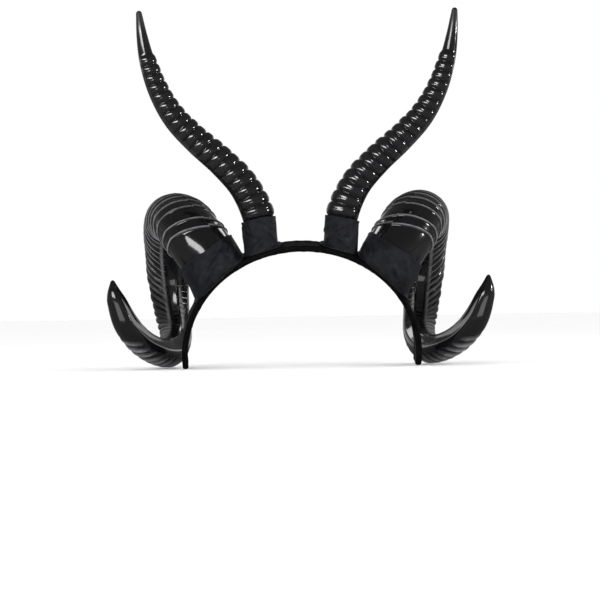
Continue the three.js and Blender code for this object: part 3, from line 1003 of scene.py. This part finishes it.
def gazelle_horn_rows():
    share = np.linspace(0, 1, RING_COUNT)
    pitch = RING_PITCH_AT_FOOT + (RING_PITCH_AT_POINT - RING_PITCH_AT_FOOT) * share
    start = GAZELLE_WRAP_TOP + PLAIN_ABOVE_WRAP + np.concatenate([[0], np.cumsum(pitch)])
    height = RING_HEIGHT * (1 + (LAST_RING_SHARE - 1) * share) * RNG.uniform(0.88, 1.15, RING_COUNT)
    tilt = RNG.uniform(-1, 1, (RING_COUNT, 2))
    distance, lift, groove, crest = [], [], [], []
    for ring in range(RING_COUNT):
        phase = RING_PHASES[:, None]
        calm = 0.0004 * min(1, ring / 2)
        sway = calm * (tilt[ring, 0] * np.cos(GAZELLE_ANGLE) + tilt[ring, 1] * np.sin(GAZELLE_ANGLE))
        profile = ring_profile(phase) * np.ones(GAZELLE_COLUMNS_ROUND)
        distance.append(start[ring] + phase * pitch[ring] + sway)
        lift.append(height[ring] * profile)
        mask = smoothstep(np.cos(GAZELLE_ANGLE), *RING_FADE)
        groove.append((1 - np.clip(profile, 0, 1)) ** 2 * mask)
        crest.append(RING_RUBBED * np.clip(profile, 0, 1) ** 6 * mask)
    return [np.vstack(rows) for rows in (distance, lift, groove, crest)]


# %% Build the gazelle horns
GAZELLE_FOOT_ROWS = 10
GAZELLE_POINT_ROWS = 40
GAZELLE_POINT_ROUND = 0.002
POINT_RUBBED = 0.04

gazelle_foot_at = foot_distance(gazelle_skin, GAZELLE_COLUMNS_ROUND, CLEARANCE)


def gazelle_horn_skin():
    distance, lift, groove, crest = gazelle_horn_rows()
    share = np.linspace(0, 1, GAZELLE_FOOT_ROWS + 1)[:-1, None]
    foot = gazelle_foot_at + (distance[0] - gazelle_foot_at) * share
    point = point_rows(distance[-1], gazelle_line.length, GAZELLE_POINT_ROWS)
    distance = np.vstack([foot, distance, point])
    lift = np.vstack([0 * foot, lift, 0 * point])
    dull = POINT_RUBBED * smoothstep(point, distance[-1 - len(point)].mean(), gazelle_line.length)
    masks = {
        "groove": np.vstack([0 * foot, groove, 0 * point]),
        "crest": np.vstack([0 * foot, crest, dull]),
    }
    skin = gazelle_skin(distance, lift=lift)
    centre = gazelle_line.middle(distance)
    keep = rounded_end(distance, gazelle_line.length, GAZELLE_POINT_ROUND)[..., None]
    skin = centre + (skin - centre) * keep
    cap = foot_cap(skin[0], CLEARANCE)
    masks = {name: np.vstack([0 * cap[..., 0], mask]) for name, mask in masks.items()}
    return np.vstack([cap, skin]), masks


add_horns("gazelle", *gazelle_horn_skin())

# %% [markdown]
# ## Stretch cloth round each foot
# Each foot is wrapped in knitted stretch cloth that is pulled tight and glued. It lies close to the
# horn and shows soft slanting creases and a few deeper folds, each steeper on one side and set in
# a table. It ends in a cut edge below the first ridge, and spreads
# in a narrow skirt where it is glued to the band. Under the ram horns, which are wider than the
# band, it is tucked in below the foot. A tight sleeve has no free cloth to simulate, so its creases
# are written straight into the sleeve's shape, and Solidify gives the cloth its thickness.

# %% Shape of a tight cloth sleeve
SKIRT_ROWS = 7
SLEEVE_ROWS = 34
HEM_BULGE = 0.0003
RAGGED_EDGE = 0.0004
FILLET = 0.0022
TUCK_BELOW = 0.0011
TUCK_DEPTH = 0.006
BAND_SIDE_GAP = 0.0016
STEEP_SIDE = 0.5
CREASE_HEIGHT = 0.0009
CREASE_SLANT = (0.25, 1.1)
CREASE_WIDTH = (0.0013, 0.0024)
CREASE_LENGTH = (0.004, 0.011)


def around_mean(values, times):
    """Softens values that go round the sleeve, one for each column."""
    for _ in range(times):
        values = (np.roll(values, 1, 0) + 2 * values + np.roll(values, -1, 0)) / 4
    return values


def crease_heights(columns, size, count, height, folds, rng):
    """Soft creases anywhere on a size of cloth in metres, and the folds, all crossing it at a slant."""
    u = np.arange(columns)[None] / columns * size[0]
    v = np.linspace(0, 1, SLEEVE_ROWS)[:, None] * size[1]
    total = np.zeros((SLEEVE_ROWS, columns))
    soft = []
    for _ in range(count):
        slant = rng.choice([-1, 1]) * rng.uniform(*CREASE_SLANT)
        sizes = (rng.uniform(*CREASE_WIDTH), rng.uniform(*CREASE_LENGTH), rng.uniform(0.3, 1) * height)
        soft.append((rng.uniform(0, 1), rng.uniform(0.05, 0.9), slant, *sizes))
    for around, up, slant, width, length, rise in soft + folds:
        beside = (u / size[0] - around + 0.5) % 1 * size[0] - size[0] / 2
        above = v - up * size[1]
        across = beside * math.cos(slant) + above * math.sin(slant)
        along = above * math.cos(slant) - beside * math.sin(slant)
        steep = np.where(across > 0, STEEP_SIDE, 1.0)
        total += rise * np.exp(-((across / (width * steep)) ** 2) - (along / length) ** 4)
    return total


def sleeve_skin(skin_at, columns, top, dip, spread, creases, rng):
    """Middle of the cloth, from the edge of its skirt up to its cut edge, which dips where it is told."""
    foot_at = foot_distance(lambda d: skin_at(d, CLOTH_MIDDLE), columns, CLOTH_MIDDLE)
    rim = skin_at(foot_at[None], CLOTH_MIDDLE)[0]
    v = np.linspace(0, 1, SLEEVE_ROWS)[:, None]
    ragged = around_mean(rng.normal(0, 1, columns), 2) * RAGGED_EDGE * 1.6
    distance = foot_at + FILLET + (top - dip + ragged - foot_at - FILLET) * v
    grow = CLOTH_MIDDLE + creases + HEM_BULGE * smoothstep(v, 0.9, 0.96)
    sleeve = skin_at(distance, grow)

    outward = unit(rim - rim.mean(0))
    on_band = np.abs(upright(rim)[:, 1]) < BAND_WIDTH / 2 + 0.0004
    on_band = around_mean(on_band.astype(float), 3)[:, None]
    reach = spread[:, None] * on_band - TUCK_DEPTH * (1 - on_band)
    lift = CLOTH_MIDDLE * on_band[:, 0] - TUCK_BELOW * (1 - on_band[:, 0])
    corner = seated(rim, lift)
    edge = upright(seated(rim + outward * reach, lift))
    beside = np.sign(edge[:, 1]) * np.maximum(np.abs(edge[:, 1]), BAND_WIDTH / 2 + BAND_SIDE_GAP)
    edge[:, 1] = np.where(on_band[:, 0] < 0.5, beside, edge[:, 1])
    edge = leaning(edge)
    w = np.linspace(1, 0, SKIRT_ROWS + 1)[:-1, None, None]
    skirt = (1 - w) ** 2 * sleeve[0] + 2 * w * (1 - w) * corner + w**2 * edge
    return np.vstack([skirt, sleeve])


def add_sleeve(name, skin, node, middle):
    """The sleeve as a piece, with its thickness, and the flat size that it was cut to."""
    round_it = np.linalg.norm(np.roll(skin, -1, 1) - skin, axis=2).sum(1).mean()
    high = np.linalg.norm(np.diff(skin, axis=0), axis=2).sum(0).mean()
    mesh = roll_blank(name, skin, threads=(round_it, high))
    face_outwards(mesh, middle)
    piece = add_piece(name, mesh, node, WRAP_CLOTH)
    wall = piece.modifiers.new("cloth thickness", "SOLIDIFY")
    wall.thickness = CLOTH_THICKNESS
    wall.offset = 0
    wall.use_even_offset = False
    print(f"{name}: {round_it * 1000:.0f} mm round, {high * 1000:.0f} mm high, {len(mesh.polygons)} faces")


# %% Wraps of the gazelle horns
GAZELLE_SKIRT = 0.0036
GAZELLE_SKIRT_OUTSIDE = 0.0008
GAZELLE_CLOTH = (0.080, 0.024)
GAZELLE_CREASES = 9
# share of the way round, share of the height, slant, half width, half length, height of each fold
GAZELLE_FOLDS = [
    (0.15, 0.38, -0.60, 0.0026, 0.0085, 0.0017),
    (0.27, 0.22, 0.95, 0.0022, 0.0075, 0.0014),
    (0.33, 0.70, -0.35, 0.0030, 0.0070, 0.0012),
    (0.62, 0.40, 0.50, 0.0026, 0.0080, 0.0014),
    (0.84, 0.55, -0.70, 0.0024, 0.0080, 0.0014),
]

for side, word, seed in ((1, "right", 5), (-1, "left", 11)):
    rng = np.random.default_rng(seed)
    inner = smoothstep(np.cos(GAZELLE_ANGLE), 0.1, 0.9)
    spread = GAZELLE_SKIRT_OUTSIDE + (GAZELLE_SKIRT - GAZELLE_SKIRT_OUTSIDE) * inner
    creases = crease_heights(
        GAZELLE_COLUMNS_ROUND, GAZELLE_CLOTH, GAZELLE_CREASES, CREASE_HEIGHT, GAZELLE_FOLDS, rng,
    )
    skin = sleeve_skin(gazelle_skin, GAZELLE_COLUMNS_ROUND, GAZELLE_WRAP_TOP, 0, spread, creases, rng)
    middle = gazelle_foot * [side, 1, 1]
    add_sleeve(f"gazelle_wrap_{word}_cloth", skin * [side, 1, 1], f"gazelle_base_wrap_{word}", middle)

# %% Wraps of the ram horns
RAM_SKIRT = 0.003
RAM_WRAP_RISE = 0.0025
RAM_WRAP_DIP = 0.0035
RAM_WRAP_DIPS_AT = 0.6
RAM_WRAP_DIP_SPAN = 0.2
RAM_CLOTH = (0.150, 0.024)
RAM_CREASES = 16
# the same columns as the folds above
RAM_FOLDS = [
    (0.50, 0.50, 1.05, 0.0026, 0.0095, 0.0020),
    (0.60, 0.30, 1.20, 0.0024, 0.0080, 0.0016),
    (0.67, 0.62, 0.70, 0.0028, 0.0080, 0.0015),
    (0.42, 0.30, 0.85, 0.0026, 0.0080, 0.0014),
    (0.10, 0.45, -0.80, 0.0028, 0.0090, 0.0015),
    (0.85, 0.50, 0.75, 0.0028, 0.0090, 0.0015),
]

for side, word, seed in ((1, "right", 23), (-1, "left", 31)):
    rng = np.random.default_rng(seed)
    spread = np.full(RAM_COLUMNS_ROUND, RAM_SKIRT)
    creases = crease_heights(RAM_COLUMNS_ROUND, RAM_CLOTH, RAM_CREASES, CREASE_HEIGHT, RAM_FOLDS, rng)
    dip = -RAM_WRAP_RISE * (1 - smoothstep(RAM_SECTION[:, 3], 0.2, 0.45))
    dip = dip + RAM_WRAP_DIP * np.exp(-(((RAM_SECTION[:, 3] - RAM_WRAP_DIPS_AT) / RAM_WRAP_DIP_SPAN) ** 2))
    skin = sleeve_skin(ram_skin, RAM_COLUMNS_ROUND, RAM_WRAP_TOP, dip, spread, creases, rng)
    middle = ram_foot * [side, 1, 1]
    add_sleeve(f"ram_wrap_{word}_cloth", skin * [side, 1, 1], f"ram_base_wrap_{word}", middle)

# %% [markdown]
# ## The covered band
# A springy strip is covered in smooth cloth. The cover is folded round it, with a slightly
# raised piped edge on both sides, and is closed by a seam with small stitches along the middle of
# the inner face. Near the horns the cover is pulled, which leaves slanting folds. The band is the
# same blank again, with a section of a flat strip instead of a horn's.

# %% Section and skin of the band
BAND_COLUMNS = 72
BAND_ROWS = 260
PIPING = 0.00025
SEAM_DEPTH = 0.0004
BAND_SEAM_WIDTH = 0.0007
BAND_FOLDS = (-0.052, -0.012, 0.014, 0.05, -0.104, 0.103)
FOLD_HEIGHT = 0.00022


def band_section():
    """Across and out, in metres: a flat strip with rounded edges, a raised edge and an inner seam."""
    half_width, half_thick = BAND_WIDTH / 2, BAND_THICKNESS / 2
    corners = [(half_width * x, half_thick * z) for x, z in ((1, 1), (-1, 1), (-1, -1), (1, -1))]
    loop = []
    for (x, z), turn in zip(corners, (0, 90, 180, 270)):
        middle = np.array([x - math.copysign(half_thick * 0.9, x), z - math.copysign(half_thick * 0.9, z)])
        angle = np.radians(turn + np.linspace(0, 90, 24))
        loop.append(middle + half_thick * 0.9 * np.stack([np.cos(angle), np.sin(angle)], 1))
    loop = np.vstack(loop)
    loop = np.vstack([loop, loop[:1]])
    walked = walked_along(loop)
    even = np.linspace(0, walked[-1], 2000)
    across, out = np.interp(even, walked, loop[:, 0]), np.interp(even, walked, loop[:, 1])
    bend = np.exp(-(((np.abs(across) - half_width + 0.0012) / 0.0009) ** 2))
    out = out + np.sign(out) * PIPING * bend
    seam = np.exp(-((across / BAND_SEAM_WIDTH) ** 2)) * (out < 0)
    out = out + SEAM_DEPTH * seam
    weight = 1 + 5 * bend + 3 * seam
    share = np.concatenate([[0], np.cumsum(0.5 * (weight[1:] + weight[:-1]))])
    at = np.linspace(0, share[-1], BAND_COLUMNS, endpoint=False)
    return np.stack([np.interp(at, share, across), np.interp(at, share, out)], 1)


BAND_SECTION = band_section()


def band_skin(walked, rng):
    """Skin of the band at walked[row] from its left end, with the folds of its cover."""
    x, z, run, rise = (a[:, None] for a in on_arch(walked))
    from_end = np.minimum(walked, ARCH_LENGTH - walked)[:, None]
    rounding = np.sqrt(np.clip(1 - (1 - np.clip(from_end / BAND_END_LENGTH, 0, 1)) ** 2, 0, 1))
    narrow = BAND_END_WIDTH + (1 - BAND_END_WIDTH) * rounding
    flat = BAND_THICKNESS / 2
    thin = np.sqrt(np.clip(1 - (1 - np.clip(from_end / flat, 0, 1)) ** 2, 0.02, 1))
    across, out = BAND_SECTION[None, :, 0], BAND_SECTION[None, :, 1]
    folds = np.zeros((len(walked), BAND_COLUMNS))
    for place in BAND_FOLDS:
        for _ in range(5):
            middle = ARCH_LENGTH / 2 + place + rng.normal(0, 0.006)
            slant = rng.uniform(-0.9, 0.9)
            away = walked[:, None] - middle - slant * across
            edge = smoothstep(np.abs(across), 0.002, 0.011)
            folds += rng.uniform(0.4, 1) * edge * np.exp(-((away / rng.uniform(0.0007, 0.0016)) ** 2))
    lift = out * thin - flat + np.sign(out) * FOLD_HEIGHT * np.minimum(folds, 1) * thin
    wide = across * narrow * (1 - 0.12 * (1 - thin))
    return leaning(np.stack([x - rise * lift, wide * np.ones_like(lift), z + run * lift], -1))


# %% Build the band
BAND_END_ROWS = 14

end_rows = BAND_THICKNESS / 2 * (1 - np.cos(np.linspace(0, math.pi / 2, BAND_END_ROWS)))
band_walked = np.concatenate([
    end_rows,
    np.linspace(end_rows[-1], ARCH_LENGTH - end_rows[-1], BAND_ROWS)[1:-1],
    ARCH_LENGTH - end_rows[::-1],
])
skin = band_skin(band_walked, np.random.default_rng(3))
ends = [np.repeat(skin[i].mean(0)[None, None], BAND_COLUMNS, 1) for i in (0, -1)]
skin = np.vstack([ends[0], skin, ends[1]])
band_round = np.linalg.norm(np.roll(BAND_SECTION, -1, 0) - BAND_SECTION, axis=1).sum()
mesh = roll_blank("headband_cover", skin, threads=(band_round, ARCH_LENGTH))
print(f"band cover: {band_round * 1000:.0f} mm round, {len(mesh.polygons)} faces")

# %% [markdown]
# ### Stitches of the inner seam
# Each stitch is a short bead of thread. A low sphere of a few dozen faces is stretched along the
# band and set on the seam, and the same is repeated all the way round.

# %% Stitch the inner seam
STITCH_LENGTH = 0.0022
STITCH_PITCH = 0.0032
STITCH_THICK = 0.0005


def stitch_seam(mesh):
    bm = bmesh.new()
    bm.from_mesh(mesh)
    count = int((ARCH_LENGTH - 2 * BAND_END_LENGTH) / STITCH_PITCH)
    for i in range(count):
        walked = np.array([BAND_END_LENGTH + (i + 0.5) * STITCH_PITCH])
        x, z, run, rise = (float(a[0]) for a in on_arch(walked))
        lift = -BAND_THICKNESS + SEAM_DEPTH - STITCH_THICK * 0.2
        place = Vector(leaning(np.array([x - rise * lift, 0, z + run * lift])))
        along, out = Vector(LEAN @ [run, 0, rise]), Vector(LEAN @ [-rise, 0, run])
        turn = Matrix((along, out.cross(along), out)).transposed().to_4x4()
        size = Matrix.Diagonal((STITCH_LENGTH / 2, STITCH_THICK / 2, STITCH_THICK / 2, 1))
        matrix = Matrix.Translation(place) @ turn @ size
        bmesh.ops.create_icosphere(bm, subdivisions=1, radius=1, matrix=matrix, calc_uvs=True)
    for face in bm.faces:
        face.smooth = True
    bm.to_mesh(mesh)
    bm.free()
    return count


print("stitches:", stitch_seam(mesh))
add_piece("headband_cover", mesh, "headband", COVER_CLOTH)

# %% [markdown]
# ## Camera
# The photograph is taken from in front, level with the lower part of the band, by a long lens, and
# the head is turned and tipped very slightly. The top of the band was found at one pixel, and one
# pixel is 0.78 mm at that distance. The camera is placed so that the band's top falls on it.

# %% Place the camera
IMAGE_SIDE = 600
METRES_A_PIXEL = 0.00078
BAND_TOP_PIXEL = (300.9, 240.3)
CAMERA_DISTANCE = 2.0
CAMERA_YAW = math.radians(2.5)
CAMERA_ROLL = math.radians(0.9)
SENSOR = 36.0

camera_data = bpy.data.cameras.new("photo_camera")
camera = bpy.data.objects.new("photo_camera", camera_data)
bpy.context.scene.collection.objects.link(camera)
camera_data.sensor_width = SENSOR
camera_data.lens = SENSOR * CAMERA_DISTANCE / (IMAGE_SIDE * METRES_A_PIXEL)
camera_data.clip_start, camera_data.clip_end = 0.1, 20

looking = Vector((math.sin(CAMERA_YAW), math.cos(CAMERA_YAW), 0))
level = Vector((math.cos(CAMERA_YAW), -math.sin(CAMERA_YAW), 0))
camera_x = level * math.cos(CAMERA_ROLL) - Vector((0, 0, 1)) * math.sin(CAMERA_ROLL)
camera_y = level * math.sin(CAMERA_ROLL) + Vector((0, 0, 1)) * math.cos(CAMERA_ROLL)
band_top = Vector((0, CROWN[1], band_high.z))
right_of_middle = (BAND_TOP_PIXEL[0] - IMAGE_SIDE / 2) * METRES_A_PIXEL
above_middle = (IMAGE_SIDE / 2 - BAND_TOP_PIXEL[1]) * METRES_A_PIXEL
place = band_top - looking * CAMERA_DISTANCE - camera_x * right_of_middle - camera_y * above_middle
camera.matrix_world = Matrix.Translation(place) @ Matrix((camera_x, camera_y, -looking)).transposed().to_4x4()
bpy.context.scene.camera = camera
print("camera at", [round(x, 3) for x in place], "lens", round(camera_data.lens, 1))

# %% [markdown]
# ## Floor and light
# The headband stands on the ends of its band and on the lowest turns of the ram horns, on a plain
# pale floor. Glossy black shows little but reflections, so the lights are what draws it: a large
# soft box in front on the left gives the broad lights, a small one on the right gives the small
# ones at the rings' ends, and a white room behind gives the pale lines along the edges. The room
# is darker behind the camera, so that the fronts of the horns stay black. Light linking keeps a
# soft box to the pieces it is for: the rim and lip boxes and the small bounce boxes, which the
# camera doesn't see, light one ram horn each, one long box lights the tall horns, and the last box
# lights the floor. Only in reflections is the floor darker, or it would turn the horns grey.

# %% Floor
FLOOR_RADIUS = 6.0
DARKER_IN_GLOSS = 0.9


def make_paper_material():
    material, tree, shader, bump = new_material("pale_paper")
    where = coordinates(tree, "Object")
    tone = mixed(tree, noise_node(tree, where, 3, 3), (0.78, 0.78, 0.78, 1), (0.82, 0.82, 0.82, 1))
    mirrored = tree.nodes.new("ShaderNodeLightPath").outputs["Is Glossy Ray"]
    tone = mixed(tree, times(tree, mirrored, DARKER_IN_GLOSS), tone, (0, 0, 0, 1))
    tree.links.new(tone, shader.inputs["Base Color"])
    tree.links.new(noise_node(tree, where, 300, 3), bump.inputs["Height"])
    bump.inputs["Distance"].default_value = 0.0001
    shader.inputs["Roughness"].default_value = 0.9
    return material


bm = bmesh.new()
bmesh.ops.create_circle(bm, cap_ends=True, segments=96, radius=FLOOR_RADIUS)
floor_mesh = bpy.data.meshes.new("studio_floor")
bm.to_mesh(floor_mesh)
bm.free()
floor = bpy.data.objects.new("studio_floor", floor_mesh)
bpy.context.scene.collection.objects.link(floor)
floor.data.materials.append(make_paper_material())

# %% Soft boxes
def add_soft_box(name, azimuth, elevation, distance, size, radiance):
    """A soft box that faces the horns. Azimuth 0 is at the camera and 90 on the right of the picture."""
    data = bpy.data.lights.new(name, "AREA")
    data.shape = "RECTANGLE"
    data.size, data.size_y = size
    data.energy = radiance * math.pi * size[0] * size[1]
    light = bpy.data.objects.new(name, data)
    a, e = math.radians(azimuth), math.radians(elevation)
    away = Vector((math.sin(a) * math.cos(e), -math.cos(a) * math.cos(e), math.sin(e)))
    aim = Vector((0, 0, (cad_box[0].z + cad_box[1].z) / 2))
    turned = away.to_track_quat("Z", "Y").to_matrix().to_4x4()
    light.matrix_world = Matrix.Translation(aim + away * distance) @ turned
    bpy.context.scene.collection.objects.link(light)
    return light


def light_only(light, *pieces):
    lit = bpy.data.collections.new(f"lit_by_{light.name}")
    for piece in pieces:
        lit.objects.link(piece)
    light.light_linking.receiver_collection = lit


add_soft_box("key_box", -32, 20, 1.6, (0.95, 0.42), 8.5)
add_soft_box("side_box", 78, 14, 1.4, (0.18, 0.18), 60)
for word, azimuth, lit in (("left", -118, "right"), ("right", 118, "left")):
    rim_box = add_soft_box(f"rim_box_{word}", azimuth, 14, 1.6, (0.8, 0.7), 1.3)
    light_only(rim_box, bpy.data.objects[f"ram_horn_{lit}_moulding"])
    lip_box = add_soft_box(f"lip_box_{word}", math.copysign(138, azimuth), 37, 1.6, (0.4, 0.3), 4)
    light_only(lip_box, bpy.data.objects[f"ram_horn_{lit}_moulding"])
    bounce_box = add_soft_box(f"bounce_box_{word}", math.copysign(42, azimuth), -29, 0.25, (0.12, 0.07), 1.5)
    bounce_box.visible_camera = False
    light_only(bounce_box, bpy.data.objects[f"ram_horn_{word}_moulding"])
ring_box = add_soft_box("ring_box", -40, 20, 1.6, (1.9, 0.16), 8)
light_only(ring_box, *(bpy.data.objects[f"gazelle_horn_{word}_moulding"] for word in ("right", "left")))
floor_box = add_soft_box("floor_box", 0, 89.9, 3.0, (40, 40), 1.15)
floor_box.visible_glossy = False
light_only(floor_box, floor)

# %% White room
ROOM_BEHIND = 0.45
ROOM_IN_FRONT = 0.1
ROOM_SKIRTING = 0.08
ROOM_SEEN = 1.0


def make_room():
    """White walls behind and at the sides, a darker room behind the camera, and white where it is seen."""
    world = bpy.data.worlds.new("white_room")
    world.use_nodes = True
    tree = world.node_tree
    shader = tree.nodes["Background"]
    split = tree.nodes.new("ShaderNodeSeparateXYZ")
    tree.links.new(coordinates(tree, "Generated"), split.inputs[0])
    walls = range_node(tree, split.outputs["Y"], 0.5, 0.95, 0.0, ROOM_BEHIND)
    low = range_node(tree, split.outputs["Z"], 0.15, 0.5, 1.0, 0.0)
    front = range_node(tree, split.outputs["Z"], 0.0, 0.6, ROOM_IN_FRONT + ROOM_SKIRTING, ROOM_IN_FRONT)
    walls = plus(tree, times(tree, walls, low), front)
    seen = tree.nodes.new("ShaderNodeLightPath").outputs["Is Camera Ray"]
    unseen = math_node(tree, "SUBTRACT", 1.0, seen)
    lit = times(tree, walls, unseen)
    strength = plus(tree, lit, times(tree, seen, ROOM_SEEN))
    tree.links.new(strength, shader.inputs["Strength"])
    shader.inputs["Color"].default_value = (1, 1, 1, 1)
    return world


bpy.context.scene.world = make_room()
bpy.context.scene.view_settings.view_transform = "Standard"
